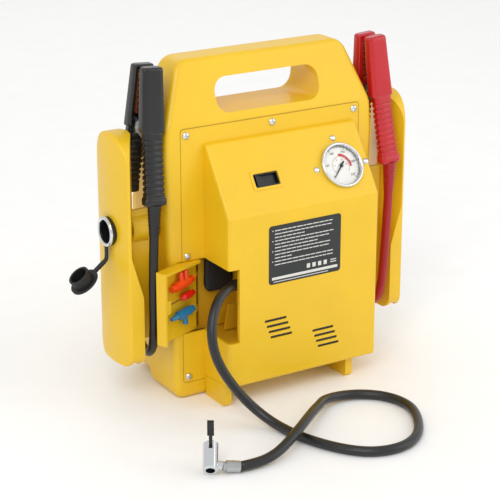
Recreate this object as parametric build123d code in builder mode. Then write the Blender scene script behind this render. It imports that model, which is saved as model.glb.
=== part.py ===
from build123d import *
from math import atan2, cos, degrees, hypot, pi, radians, sin, tan
import os

# Jump starter pack: a moulded case with a sealed battery and an air compressor, two lead clamps
# stored in pods at its sides, a pressure gauge and switch on its rear, and an air hose.
# +Z is up, -Y is the rear with the gauge, and the origin is under the middle of the case.

os.makedirs("parts", exist_ok=True)

# ---- driving dimensions, millimetres ----
WALL = 3.0
GAP = 0.3

# case
REAR_Y = -28.0
FRONT_Y = 38.0
FASCIA_Y = 70.0
SPLIT_Y = -7.0
CASE_SIDE = [(103.6, 0), (111.0, 165), (113.5, 234), (111.0, 262), (89.0, 320)]
CASE_SIDE_R = (10, 60, 60, 30, 16)
CASE_DEPTH = [(-28.0, 0), (-28.0, 262), (-9.0, 320), (23.0, 320), (38.0, 212), (38.0, 28), (25.0, 0)]
CASE_DEPTH_R = (0, 40, 0, 0, 60, 12, 0)
HANDLE_HOLE = (111.0, 31.5)
HANDLE_Z = 285.7
FASCIA = (196.0, 180.0)
FASCIA_Z = 93.0
SHELL_SCREWS = [(-96, 196), (96, 196), (-97, 234), (97, 234), (-76, 272), (76, 272)]
CONTROLS_Z = 197.0
LIGHTS_X = (-44, -34, -24, -14)
BUTTON_X = 14.0
JACK_X = 50.0

# rear cover and the raised box on it
COVER = (192.2, 244.6)
COVER_Z = 139.0
COVER_T = 2.5
BOX_LEFT = -73.2
BOX_RIGHT = 90.4
BOX_Y = -72.7
BOX_SIDE = [(-28.0, 17.5), (BOX_Y, 21.6), (BOX_Y, 185.2), (-32.5, 245.2), (-28.0, 246.0)]
COVER_SCREWS = [(-90.8, 255.6), (0.0, 255.6), (90.5, 255.6), (-90.8, 141.4), (-90.8, 22.0)]
FIN_X = (-69.6, 65.8)
FIN_T = 7.2
NOTCH_RIGHT = -61.9
NOTCH_Z = (65.5, 137.2)

# sloped face of the box: its own plane, X to the right and Y up the slope
SLOPE_MID = Vector(0, -52.6, 215.2)
SLOPE_UP = Vector(0, 40.2, 60.0).normalized()
SLOPE = Plane(origin=SLOPE_MID, x_dir=(1, 0, 0), z_dir=Vector(1, 0, 0).cross(SLOPE_UP))
GAUGE_AT = (59.0, -4.5)
GAUGE_R = 22.0
GAUGE_SCREW_R = 27.5
SWITCH_AT = (-22.8, -4.6)
SWITCH = (26.0, 13.0)
ROCKER_TILT = 9.0

# clamp holder pods at the sides
POD_IN = 137.3
POD_EDGE = 151.0
POD_OUT = 156.0
POD_Y = (-30.0, 30.0)
POD_Z = (42.5, 262.0)
WEB_Y = (-9.0, -5.0)
WEB_Z = (62.0, 188.0)
SCOOP_Z = (112.0, 150.0)

# 12 volt socket in the left pod
SOCKET_Z = 170.0
SOCKET_Y = -1.0
SOCKET_R = 10.5
SOCKET_FACE = -161.0
SOCKET_BACK = -120.0

# storage door, open at rest
HINGE = (-76.5, -15.3)
DOOR_OPEN = 69.5
DOOR_T = 2.5
DOOR_Z = (66.2, 136.5)

# clamps
CLAMP_TOP = (119.5, 320.5)
CLAMP_FOOT = (128.0, 199.0)
CLAMP_Y = -11.0
PIVOT_Z = 265.0
JAW_FACE = -24.6
KINK_FACE = -31.0
FOOT_FACE = -41.0

# cords
LEAD_D = 8.6
HOSE_D = 9.0
CHUCK_R = 6.75
CHUCK_LENGTH = 27.0


def save(builder, name):
    """Label a finished piece and write its STEP file."""
    builder.part.label = name
    export_step(builder.part, f"parts/{name}.step")


# ---- case ----
def case_block(inset):
    """The case as a solid: its front outline met with its side outline, both drawn in by inset."""
    right = CASE_SIDE
    left = [(-x, z) for x, z in reversed(right)]
    with BuildPart() as block:
        with BuildSketch(Plane.XZ.offset(-60)) as front:
            Polygon(*right, *left, align=None)
            for (x, z), radius in zip(CASE_SIDE, CASE_SIDE_R):
                for corner in ((x, z), (-x, z)):
                    fillet(front.vertices().sort_by_distance(corner)[0], radius)
            if inset:
                offset(amount=-inset, kind=Kind.INTERSECTION)
        extrude(amount=120)
        with BuildSketch(Plane.YZ.offset(-130)) as side:
            Polygon(*CASE_DEPTH, align=None)
            for (y, z), radius in zip(CASE_DEPTH, CASE_DEPTH_R):
                if radius:
                    fillet(side.vertices().sort_by_distance((y, z))[0], radius)
            if inset:
                offset(amount=-inset, kind=Kind.INTERSECTION)
        extrude(amount=260, mode=Mode.INTERSECT)
    return block.part


def pod_block(inset):
    """The right pod as a solid: an outward bowed slab with an arched top, hollowed near its inner edge."""
    y0, y1 = POD_Y[0] + inset, POD_Y[1] - inset
    z0, z1 = POD_Z[0] - 4 * inset, POD_Z[1] - inset
    middle = (y0 + y1) / 2
    shift = 1.2 * inset
    with BuildPart() as block:
        with BuildSketch(Plane.XY.offset(z0)) as plan:
            with BuildLine():
                Line((POD_IN + inset, y0), (POD_EDGE - inset, y0))
                ThreePointArc((POD_EDGE - inset, y0), (POD_OUT - inset, middle), (POD_EDGE - inset, y1))
                Line((POD_EDGE - inset, y1), (POD_IN + inset, y1))
                Line((POD_IN + inset, y1), (POD_IN + inset, y0))
            make_face()
        extrude(amount=z1 - z0)
        with BuildSketch(Plane.YZ.offset(POD_IN - 5)) as outline:
            with Locations((middle, (z0 + z1) / 2)):
                Rectangle(y1 - y0, z1 - z0)
            fillet(outline.vertices().group_by(Axis.Y)[-1], (y1 - y0) / 2 - 0.5)
            if not inset:
                fillet(outline.vertices().group_by(Axis.Y)[0], 14)
        extrude(amount=40, mode=Mode.INTERSECT)
        for near, far in ((POD_Y[0] - 1, WEB_Y[0]), (POD_Y[1] + 1, WEB_Y[1])):
            with BuildSketch(Plane.XY.offset(SCOOP_Z[0])):
                Polygon((POD_IN - 1, near), (POD_IN + 0.4 + shift, near), (POD_IN - 1, far), align=None)
            with BuildSketch(Plane.XY.offset(SCOOP_Z[1])):
                Polygon((POD_IN - 1, near), (POD_EDGE - 1.6 + shift, near), (POD_IN - 1 + shift, far), align=None)
            loft(mode=Mode.SUBTRACT)
            with BuildSketch(Plane.XY.offset(SCOOP_Z[1])):
                Polygon((POD_IN - 1, near), (POD_EDGE - 1.6 + shift, near), (POD_IN - 1 + shift, far), align=None)
            extrude(amount=130, mode=Mode.SUBTRACT)
    return block.part


case_outer = case_block(0)
case_inner = case_block(WALL)

with BuildPart() as case:
    add(case_outer)
    for low, high, radius in ((-30, 0, 6), (10, 40, 8)):
        rims = [e for e in case.edges() if abs(e.tangent_at(0.5).Y) < 0.95 and e.center().Z > 1]
        rims = [e for e in rims if abs(e.center().X) > 50 or e.center().Z > 319]
        fillet([e for e in rims if low < e.center().Y < high], radius)
    with BuildSketch(Plane.XZ.offset(-60)):
        with Locations((0, HANDLE_Z)):
            RectangleRounded(*HANDLE_HOLE, 13)
    extrude(amount=120, mode=Mode.SUBTRACT)
    with BuildSketch(Plane.XZ.offset(-FRONT_Y + 6)):
        with Locations((0, FASCIA_Z)):
            RectangleRounded(*FASCIA, 10)
    extrude(amount=-(FASCIA_Y - FRONT_Y + 6), taper=3)
    fascia_rim = case.edges().filter_by(lambda e: abs(e.center().Y - FASCIA_Y) < 0.01)
    fillet(fascia_rim, 3)

with BuildPart() as cavity:
    add(case_inner)
    with BuildSketch(Plane.XZ.offset(-60)):
        with Locations((0, HANDLE_Z)):
            RectangleRounded(HANDLE_HOLE[0] + 2 * WALL, HANDLE_HOLE[1] + 2 * WALL, 13 + WALL)
    extrude(amount=120, mode=Mode.SUBTRACT)
    with BuildSketch(Plane.XZ.offset(-20)):
        with Locations((0, FASCIA_Z)):
            RectangleRounded(FASCIA[0] - 2 * WALL - 4, FASCIA[1] - 2 * WALL - 4, 5)
    extrude(amount=-(FASCIA_Y - 20 - WALL))

with BuildPart() as rear_shell:
    add(case.part)
    add(cavity.part, mode=Mode.SUBTRACT)
    split(bisect_by=Plane.XZ.offset(-SPLIT_Y), keep=Keep.TOP)
    # rim that the rear cover is screwed to
    with BuildSketch(Plane.XZ.offset(-REAR_Y - COVER_T - GAP)):
        with Locations((0, COVER_Z)):
            RectangleRounded(COVER[0] + 8, COVER[1] + 8, 6)
    extrude(amount=-5)
    with BuildSketch(Plane.XZ.offset(-REAR_Y)):
        with Locations((0, COVER_Z)):
            RectangleRounded(COVER[0] + 2 * GAP, COVER[1] + 2 * GAP, 3.3)
    extrude(amount=-(COVER_T + GAP), mode=Mode.SUBTRACT)
    with BuildSketch(Plane.XZ.offset(-REAR_Y)):
        with Locations((0, COVER_Z)):
            RectangleRounded(COVER[0] - 22, COVER[1] - 24, 4)
    extrude(amount=-12, mode=Mode.SUBTRACT)
    # relief behind the storage door's hinge
    with BuildSketch(Plane.XY.offset(NOTCH_Z[0] - 1)):
        with Locations((-85.5, REAR_Y + 8)):
            Rectangle(22, 20)
    extrude(amount=NOTCH_Z[1] - NOTCH_Z[0] + 1, mode=Mode.SUBTRACT)
    with BuildSketch(Plane.XY.offset(NOTCH_Z[0] - 0.3)):
        Polygon((-96, -30), (-96, -25.3), (-103, -28.1), (-103, -30), align=None)
    extrude(amount=NOTCH_Z[1] - NOTCH_Z[0] + 0.6, mode=Mode.SUBTRACT)
    with BuildSketch(Plane.XZ.offset(-REAR_Y)):
        with Locations(*COVER_SCREWS):
            Circle(2.0)
    extrude(amount=-12, mode=Mode.SUBTRACT)
save(rear_shell, "rear_shell")


def front_plane(x, z):
    """A plane on the front shell's face at x and z, facing out of it."""
    slope = 15 / 108 if z > 212 else 0
    return Plane(origin=(x, FRONT_Y + 0.02 - slope * (z - 212), z), x_dir=(1, 0, 0), z_dir=(0, 1, slope))


with BuildPart() as front_shell:
    add(case.part)
    add(cavity.part, mode=Mode.SUBTRACT)
    split(bisect_by=Plane.XZ.offset(-SPLIT_Y - 0.1), keep=Keep.BOTTOM)
    with BuildSketch(Plane.XZ.offset(-FRONT_Y - 2)):
        with Locations(*[(x, CONTROLS_Z) for x in LIGHTS_X]):
            Circle(2.5)
        with Locations((BUTTON_X, CONTROLS_Z)):
            Circle(5.3)
        with Locations((JACK_X, CONTROLS_Z)):
            Circle(5.6)
    extrude(amount=8, mode=Mode.SUBTRACT)
    for x, z in SHELL_SCREWS:
        with BuildSketch(front_plane(x, z)):
            Circle(1.75)
        extrude(amount=-12, mode=Mode.SUBTRACT)
save(front_shell, "front_shell")


def pod(side):
    """One clamp holder: pod, open underneath, and the web that joins it to the case's side."""
    with BuildPart() as holder:
        add(pod_block(0))
        outer_edges = holder.edges().filter_by(lambda e: e.center().X > POD_EDGE - 0.5)
        fillet(outer_edges, 2.2)
        add(pod_block(WALL), mode=Mode.SUBTRACT)
        with BuildSketch(Plane.XY.offset(WEB_Z[0])):
            with Locations(((100 + POD_IN + 1) / 2, sum(WEB_Y) / 2)):
                Rectangle(POD_IN + 1 - 100, WEB_Y[1] - WEB_Y[0])
        extrude(amount=WEB_Z[1] - WEB_Z[0])
        add(case_outer, mode=Mode.SUBTRACT)
        if side < 0:
            with BuildSketch(Plane.YZ.offset(112)):
                with Locations((SOCKET_Y, SOCKET_Z)):
                    Circle(SOCKET_R + 4.2)
            extrude(amount=POD_IN - 111)
            with BuildSketch(Plane.YZ.offset(112)):
                with Locations((SOCKET_Y, SOCKET_Z)):
                    Circle(SOCKET_R + 1.8)
            extrude(amount=POD_OUT - 110, mode=Mode.SUBTRACT)
            add(case_outer, mode=Mode.SUBTRACT)
            mirror(about=Plane.YZ, mode=Mode.REPLACE)
    return holder


left_clamp_holder = pod(-1)
save(left_clamp_holder, "left_clamp_holder")
right_clamp_holder = pod(1)
save(right_clamp_holder, "right_clamp_holder")
# ---- rear cover ----
def box_block(inset):
    """The raised box on the rear cover as a solid, drawn in by inset."""
    with BuildPart() as block:
        with BuildSketch(Plane.YZ.offset(BOX_LEFT + inset)) as side:
            Polygon(*BOX_SIDE, align=None)
            if inset:
                offset(amount=-inset, kind=Kind.INTERSECTION)
        extrude(amount=BOX_RIGHT - BOX_LEFT - 2 * inset)
        if not inset:
            edges = [e for e in block.edges() if e.center().Y < REAR_Y - 1.0]
            fillet(edges, 3)
    return block.part


VENT_LEFT = [(-23.2 + 2.1 * i, 80.7 - 5.63 * i) for i in range(4)]
VENT_RIGHT = [(29.4 + 2.1 * i, 60.5 - 5.63 * i) for i in range(4)]

with BuildPart() as rear_cover:
    with BuildSketch(Plane.XZ.offset(-REAR_Y)):
        with Locations((0, COVER_Z)):
            RectangleRounded(*COVER, 3)
    extrude(amount=-COVER_T)
    add(box_block(0))
    add(box_block(COVER_T), mode=Mode.SUBTRACT)
    box_middle = (BOX_LEFT + BOX_RIGHT) / 2
    box_width = BOX_RIGHT - BOX_LEFT
    with BuildSketch(Plane.XZ.offset(-REAR_Y + 3)):
        with Locations((box_middle, 131.5)):
            Rectangle(box_width - 2 * COVER_T, 221)
    extrude(amount=-8, mode=Mode.SUBTRACT)
    # pocket mouth: the box's left wall, part of its front and the flange beside it are cut away
    mouth_height = NOTCH_Z[1] - NOTCH_Z[0]
    mouth_z = sum(NOTCH_Z) / 2
    with BuildSketch(Plane.XY.offset(NOTCH_Z[0])):
        with Locations((-85, -40)):
            Rectangle(2 * (85 + NOTCH_RIGHT), 80)
    extrude(amount=mouth_height, mode=Mode.SUBTRACT)
    for vents in (VENT_LEFT, VENT_RIGHT):
        with BuildSketch(Plane.XZ.offset(-BOX_Y)):
            with Locations(*vents):
                SlotOverall(24, 2.6)
        extrude(amount=-5, mode=Mode.SUBTRACT)
    with BuildSketch(SLOPE):
        with Locations(GAUGE_AT):
            Circle(20.8)
        with Locations(SWITCH_AT):
            RectangleRounded(*SWITCH, 1.5)
        for x, y in ((GAUGE_SCREW_R, 0), (0, GAUGE_SCREW_R), (-GAUGE_SCREW_R, 0)):
            with Locations((GAUGE_AT[0] + x, GAUGE_AT[1] + y)):
                Circle(1.5)
    extrude(amount=-6, mode=Mode.SUBTRACT)
    with BuildSketch(Plane.XZ.offset(-REAR_Y - 4)):
        with Locations(*COVER_SCREWS):
            Circle(2.2)
    extrude(amount=8, mode=Mode.SUBTRACT)
    # stand fins under the box
    for x in FIN_X:
        with BuildSketch(Plane.YZ.offset(x - FIN_T / 2)) as fin:
            Polygon((REAR_Y - GAP, 0), (-64, 0), (-64, 22.5), (REAR_Y - GAP, 19), align=None)
            fillet(fin.vertices().sort_by_distance((-64, 0))[0], 4)
        extrude(amount=FIN_T)
save(rear_cover, "rear_cover")

with BuildPart() as rating_label:
    with BuildSketch(Plane.XZ.offset(-BOX_Y)):
        with Locations((8.3, 144.0)):
            RectangleRounded(78.6, 56.5, 3)
    extrude(amount=0.3)
save(rating_label, "rating_label")


def pan_head(radius, height, shank_r, shank):
    """A pan head screw on the current plane: domed head above it, cross recess and shank below it."""
    with BuildPart() as screw:
        with BuildSketch(Plane.XZ):
            with BuildLine():
                Polyline((0, -shank), (shank_r, -shank), (shank_r, 0), (radius, 0), (radius, height * 0.4))
                ThreePointArc((radius, height * 0.4), (radius * 0.72, height * 0.86), (0, height))
                Line((0, height), (0, -shank))
            make_face()
        revolve(axis=Axis.Z)
        with BuildSketch(Plane.XY.offset(height * 0.35)):
            Rectangle(radius * 1.1, radius * 0.28)
            Rectangle(radius * 0.28, radius * 1.1)
        extrude(amount=height, mode=Mode.SUBTRACT)
    return screw.part


cover_screw = pan_head(3.4, 2.0, 1.9, 9)
with BuildPart() as cover_screws:
    for x, z in COVER_SCREWS:
        with Locations(Plane(origin=(x, REAR_Y - 0.01, z), x_dir=(1, 0, 0), z_dir=(0, -1, 0))):
            add(cover_screw)
save(cover_screws, "cover_screws")

shell_screw = pan_head(3.2, 1.8, 1.6, 12)
with BuildPart() as shell_screws:
    for x, z in SHELL_SCREWS:
        with Locations(front_plane(x, z)):
            add(shell_screw)
save(shell_screws, "shell_screws")


# ---- pressure gauge, on the sloped face ----
GAUGE = Plane(origin=SLOPE.from_local_coords(Vector(*GAUGE_AT, 0)), x_dir=SLOPE.x_dir, z_dir=SLOPE.z_dir)
GAUGE_TURN = 225.0

with BuildPart() as gauge_case:
    with BuildSketch(GAUGE.offset(-24)):
        Circle(20.5)
    extrude(amount=24)
    with BuildSketch(GAUGE.offset(-22)):
        Circle(19.3)
    extrude(amount=24, mode=Mode.SUBTRACT)
    with BuildSketch(GAUGE.offset(-24)):
        RegularPolygon(6.5, 6)
    extrude(amount=-9)
save(gauge_case, "gauge_case")

with BuildPart() as gauge_bezel:
    with BuildSketch(Plane.XZ) as bezel_profile:
        with BuildLine():
            Polyline((19.4, 0.1), (GAUGE_R, 0.1), (GAUGE_R, 2.6))
            ThreePointArc((GAUGE_R, 2.6), (21.0, 4.2), (19.4, 3.6))
            Line((19.4, 3.6), (19.4, 0.1))
        make_face()
    revolve(axis=Axis.Z)
gauge_bezel.part = gauge_bezel.part.moved(GAUGE.location)
save(gauge_bezel, "gauge_bezel")

with BuildPart() as gauge_dial:
    with BuildSketch(GAUGE.offset(-1.6)):
        Circle(19.2)
        Circle(0.84, mode=Mode.SUBTRACT)
    extrude(amount=1.0)
save(gauge_dial, "gauge_dial")

with BuildPart() as gauge_needle:
    with BuildSketch(GAUGE.offset(0.2)):
        Circle(1.9)
        with Locations(Rotation(0, 0, GAUGE_TURN)):
            Polygon((-5, -0.8), (14.5, -0.25), (14.5, 0.25), (-5, 0.8), align=None)
    extrude(amount=0.6)
    with BuildSketch(GAUGE.offset(-3)):
        Circle(0.75)
    extrude(amount=3.3)
save(gauge_needle, "gauge_needle")

with BuildPart() as gauge_lens:
    with BuildSketch(GAUGE.offset(1.8)):
        Circle(19.3)
    extrude(amount=1.2)
save(gauge_lens, "gauge_lens")

gauge_screw = pan_head(2.9, 1.8, 1.4, 5)
with BuildPart() as gauge_screws:
    for angle in (0, 90, 180):
        spot = GAUGE.from_local_coords(
            Vector(GAUGE_SCREW_R * cos(radians(angle)), GAUGE_SCREW_R * sin(radians(angle)), 0.02))
        with Locations(Plane(origin=spot, x_dir=GAUGE.x_dir, z_dir=GAUGE.z_dir)):
            add(gauge_screw)
save(gauge_screws, "gauge_screws")

# ---- rocker switch ----
SWITCH_PLANE = Plane(origin=SLOPE.from_local_coords(Vector(*SWITCH_AT, 0)), x_dir=SLOPE.x_dir, z_dir=SLOPE.z_dir)
ROCKER_PIVOT = -5.6

with BuildPart() as switch_housing:
    with BuildSketch(SWITCH_PLANE.offset(-14)):
        RectangleRounded(SWITCH[0] - 0.4, SWITCH[1] - 0.4, 1.3)
    extrude(amount=13.4)
    with BuildSketch(SWITCH_PLANE.offset(-12.5)):
        RectangleRounded(SWITCH[0] - 1.9, SWITCH[1] - 2.8, 0.8)
    extrude(amount=14, mode=Mode.SUBTRACT)
save(switch_housing, "switch_housing")

with BuildPart() as switch_rocker:
    rocker_end = SWITCH_PLANE.from_local_coords(Vector(0, -4.8, ROCKER_PIVOT))
    tilted = Plane(origin=rocker_end, x_dir=SWITCH_PLANE.x_dir, z_dir=-SWITCH_PLANE.y_dir)
    with BuildSketch(tilted):
        with Locations(Rotation(0, 0, -ROCKER_TILT)):
            Polygon((-10.8, 3.2), (0, 1.7), (10.8, 3.2), (9.4, -3.4), (-9.4, -3.4), align=None)
    extrude(amount=-9.6)
save(switch_rocker, "switch_rocker")

# ---- storage pocket and its door ----
with BuildPart() as storage_bin:
    bin_left, bin_right = -95.5, -36.0
    with BuildSketch(Plane.XY.offset(NOTCH_Z[0] - 1.7)):
        with BuildLine():
            Polyline((bin_left, -10), (-71, -10), (-71, -14), (bin_right, -14), (bin_right, BOX_Y + 3),
                     (NOTCH_RIGHT + 0.3, BOX_Y + 3), (NOTCH_RIGHT + 0.3, BOX_Y + 5), (bin_right - 2, BOX_Y + 5),
                     (bin_right - 2, -16), (-73, -16), (-73, -12), (bin_left, -12), close=True)
        make_face()
    extrude(amount=NOTCH_Z[1] - NOTCH_Z[0] + 3.4)
    for level in (NOTCH_Z[0] - 1.7, NOTCH_Z[1]):
        with BuildSketch(Plane.XY.offset(level)):
            Polygon((bin_left, -10), (-71, -10), (-71, -14), (bin_right, -14), (bin_right, BOX_Y + 3),
                    (-70.4, BOX_Y + 3), (-70.4, -20), (bin_left, -20), align=None)
        extrude(amount=1.7)
    with BuildSketch(Plane(origin=(*HINGE, NOTCH_Z[0] - 2))):
        Circle(1.05)
    extrude(amount=NOTCH_Z[1] - NOTCH_Z[0] + 4, mode=Mode.SUBTRACT)
save(storage_bin, "storage_bin")

DOOR = Plane(origin=(*HINGE, 0), x_dir=(cos(radians(DOOR_OPEN)), -sin(radians(DOOR_OPEN)), 0), z_dir=(0, 0, 1))
DOOR_SKIN = -73.2 - HINGE[0]
DOOR_END = BOX_Y - HINGE[1]
DOOR_LEG = NOTCH_RIGHT - HINGE[0] - 0.4
DOOR_HEIGHT = DOOR_Z[1] - DOOR_Z[0]
KNUCKLES = (84.0, 118.0)

with BuildPart() as storage_door:
    with BuildSketch(DOOR.offset(DOOR_Z[0])):
        Polygon((DOOR_SKIN, -5), (DOOR_SKIN, DOOR_END), (DOOR_LEG, DOOR_END), (DOOR_LEG, DOOR_END + DOOR_T),
                (DOOR_SKIN + DOOR_T, DOOR_END + DOOR_T), (DOOR_SKIN + DOOR_T, -5), align=None)
    extrude(amount=DOOR_HEIGHT)
    with BuildSketch(DOOR.offset(DOOR_Z[1] - DOOR_T)):
        Polygon((DOOR_SKIN, -5), (DOOR_SKIN, DOOR_END), (DOOR_LEG, DOOR_END), (DOOR_LEG, -8), align=None)
    extrude(amount=DOOR_T)
    # latch block inside the free end
    with BuildSketch(DOOR.offset(97)):
        with Locations((DOOR_LEG - 3.0, DOOR_END + DOOR_T + 2.4)):
            Rectangle(6, 5)
    extrude(amount=13)
    for z in KNUCKLES:
        with BuildSketch(DOOR.offset(z - 3)):
            Circle(2.7)
            Polygon((0, -2.7), (DOOR_SKIN + 1, -6.5), (DOOR_SKIN + DOOR_T, -5), (DOOR_SKIN, -1), (0, 2.7), align=None)
            Circle(1.1, mode=Mode.SUBTRACT)
        extrude(amount=6)
save(storage_door, "storage_door")

with BuildPart() as door_hinge_pin:
    with BuildSketch(Plane(origin=(*HINGE, NOTCH_Z[0] - 1.5))):
        Circle(1.05)
    extrude(amount=NOTCH_Z[1] - NOTCH_Z[0] + 3.0)
save(door_hinge_pin, "door_hinge_pin")


def door_plane(along, height, turn):
    """A plane clipped to the door's inner face: X points to the hinge, Y up, turned by turn degrees."""
    spot = DOOR.from_local_coords(Vector(DOOR_SKIN + DOOR_T + 4.8, along, height))
    x_dir = DOOR.y_dir * cos(radians(turn)) + DOOR.z_dir * sin(radians(turn))
    return Plane(origin=spot, x_dir=x_dir, z_dir=DOOR.x_dir)


def turned_rod(plane, stations):
    """A round rod along the plane's X axis, given as (distance, radius) stations."""
    points = [(stations[0][0], 0)] + list(stations) + [(stations[-1][0], 0)]
    with BuildPart() as rod:
        with BuildSketch(plane):
            Polygon(*points, align=None)
        revolve(axis=Axis(plane.origin, plane.x_dir))
    return rod.part


TOY = door_plane(-30, 119, 6)
with BuildPart() as valve_adaptor:
    add(turned_rod(TOY, [(-15, 3.0), (-9, 3.0), (-9, 4.4), (9, 4.4), (12, 3.4), (15, 3.4)]))
    for x in (-0.5, 6.0):
        prong = Plane(origin=TOY.from_local_coords((x, 3, 0)), x_dir=TOY.y_dir, z_dir=TOY.z_dir)
        add(turned_rod(prong, [(0, 2.4), (8, 2.4), (9.5, 1.5)]))
save(valve_adaptor, "valve_adaptor")

NEEDLE = door_plane(-29, 105.5, 5)
with BuildPart() as needle_adaptor:
    add(turned_rod(NEEDLE, [(-2, 2.0), (1, 3.6), (11, 3.6), (13, 2.6), (15, 2.6)]))
save(needle_adaptor, "needle_adaptor")
with BuildPart() as inflating_needle:
    add(turned_rod(NEEDLE, [(-20, 0.7), (-2.05, 0.7)]))
save(inflating_needle, "inflating_needle")

TAPER = door_plane(-30, 90, 4)
with BuildPart() as taper_adaptor:
    add(turned_rod(TAPER, [(-16, 1.8), (-6, 2.8), (-6, 4.2), (10, 4.4), (10, 3.2), (15, 3.2)]))
    stub = Plane(origin=TAPER.from_local_coords((3, -3, 0)), x_dir=-TAPER.y_dir, z_dir=TAPER.z_dir)
    add(turned_rod(stub, [(0, 2.6), (8, 2.6)]))
save(taper_adaptor, "taper_adaptor")

# ---- 12 volt socket and its cap ----
SOCKET = Plane(origin=(SOCKET_FACE, SOCKET_Y, SOCKET_Z), x_dir=(0, 1, 0), z_dir=(-1, 0, 0))
left_pod = mirror(pod_block(0), about=Plane.YZ)

with BuildPart() as socket_barrel:
    with BuildSketch(SOCKET.offset(-1.7)):
        Circle(13.4)
    extrude(amount=-4.8)
    add(left_pod, mode=Mode.SUBTRACT)
    with BuildSketch(SOCKET.offset(SOCKET_FACE - SOCKET_BACK)):
        Circle(SOCKET_R + 1.5)
    extrude(amount=SOCKET_BACK - SOCKET_FACE - 1.7)
    with BuildSketch(SOCKET.offset(-38)):
        Circle(SOCKET_R)
    extrude(amount=40, mode=Mode.SUBTRACT)
save(socket_barrel, "socket_barrel")

with BuildPart() as socket_ring:
    with BuildSketch(Plane.XZ):
        with BuildLine():
            Polyline((SOCKET_R + 0.3, -1.6), (14.0, -1.6), (14.0, -1.0))
            ThreePointArc((14.0, -1.0), (12.6, 0.4), (SOCKET_R + 0.3, -0.4))
            Line((SOCKET_R + 0.3, -0.4), (SOCKET_R + 0.3, -1.6))
        make_face()
    revolve(axis=Axis.Z)
socket_ring.part = socket_ring.part.moved(SOCKET.location)
save(socket_ring, "socket_ring")

# rubber strap: a fixed run down from the ring to the bend, then the swinging arm with the cap
BEND = (-159.4, 143.6)
ARM_TURN = 217.7
ARM_LENGTH = 29.0
CAP_R = 14.0
PLUG_R = 10.2

with BuildPart() as cap_strap:
    with BuildSketch(Plane.YZ.offset(BEND[0] - 1)):
        with Locations((SOCKET_Y, (BEND[1] + 1.5 + SOCKET_Z - 14.3) / 2)):
            Rectangle(5, SOCKET_Z - 14.3 - BEND[1] - 1.5)
    extrude(amount=2)
save(cap_strap, "cap_strap")

ARM = Plane(origin=(BEND[0], SOCKET_Y, BEND[1]),
            x_dir=(cos(radians(ARM_TURN)), 0, sin(radians(ARM_TURN))),
            z_dir=(sin(radians(ARM_TURN)), 0, -cos(radians(ARM_TURN))))
with BuildPart() as socket_cap:
    with BuildSketch(ARM.offset(-1)):
        with Locations((ARM_LENGTH / 2, 0)):
            Rectangle(ARM_LENGTH - 6, 5)
        with Locations((ARM_LENGTH, 0)):
            Circle(CAP_R)
    extrude(amount=2)
    with BuildSketch(ARM.offset(-0.9)):
        with Locations((ARM_LENGTH, 0)):
            Circle(PLUG_R)
            Circle(PLUG_R - 2, mode=Mode.SUBTRACT)
    extrude(amount=10.5)
save(socket_cap, "socket_cap")


# ---- lead clamps ----
def clamp_plane(side):
    """The clamp's own plane at its pivot: X across it, Y from the near half to the far half, Z to its tip."""
    lean = atan2(CLAMP_FOOT[0] - CLAMP_TOP[0], CLAMP_TOP[1] - CLAMP_FOOT[1])
    x = CLAMP_TOP[0] + (CLAMP_TOP[1] - PIVOT_Z) * tan(lean)
    return Plane(origin=(side * x, CLAMP_Y, PIVOT_Z), x_dir=(cos(lean), 0, side * sin(lean)),
                 z_dir=(-side * sin(lean), 0, cos(lean)))


TIP = CLAMP_TOP[1] - PIVOT_Z
FOOT = CLAMP_FOOT[1] - PIVOT_Z
TIP_Y = JAW_FACE - CLAMP_Y
KINK_Y = KINK_FACE - CLAMP_Y
FOOT_Y = FOOT_FACE - CLAMP_Y


def cover_sections(flip):
    """Height, half width, outer and inner face of a cover from tip to foot; the far one's foot is narrower."""
    foot, rim = (9.8, 10.8) if flip > 0 else (8.7, 8.8)
    jaw = [(TIP, 10.0, TIP_Y, -1.6), (34, 10.6, TIP_Y - 2.2, -3.6), (-2, 11.6, KINK_Y, -8.0)]
    handle = [(-2, 9.3, KINK_Y + 0.6, -10.0), (FOOT + 7, foot, FOOT_Y + 1.5, FOOT_Y + 11.5)]
    collar = [(FOOT + 7, rim, FOOT_Y + 0.4, FOOT_Y + 12.0), (FOOT, rim, FOOT_Y, FOOT_Y + 11.6)]
    return jaw, handle, collar


def grip(plane, flip, name):
    """One plastic cover of a clamp: jaw block, handle and collar, channelled inside for the steel."""
    with BuildPart() as cover:
        for run in cover_sections(flip):
            for (h0, w0, o0, i0), (h1, w1, o1, i1) in zip(run, run[1:]):
                for h, w, o, i in ((h0, w0, o0, i0), (h1, w1, o1, i1)):
                    with BuildSketch(plane.offset(h)):
                        with Locations((0, flip * (o + i) / 2)):
                            RectangleRounded(2 * w, abs(i - o), 2.5)
                loft()
        channel = [(TIP - 4, TIP_Y + 4.5), (34, TIP_Y + 2.6), (-2, KINK_Y + 4.5), (FOOT + 3, FOOT_Y + 6.5)]
        for (h0, o0), (h1, o1) in zip(channel, channel[1:]):
            for h, o in ((h0, o0), (h1, o1)):
                with BuildSketch(plane.offset(h)):
                    with Locations((0, flip * (o + 8))):
                        Rectangle(15.4, 16)
            loft(mode=Mode.SUBTRACT)
        if flip > 0:
            with BuildSketch(plane.offset(FOOT - 4)):
                with Locations((0, FOOT_Y + 5.0)):
                    Circle(5.4)
            extrude(amount=6.4)
    save(cover, name)


def side_plane(plane):
    """The clamp's side view: X from its near half to its far half, Y to its tip."""
    return Plane(origin=plane.origin, x_dir=plane.y_dir, z_dir=plane.x_dir)


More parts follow.
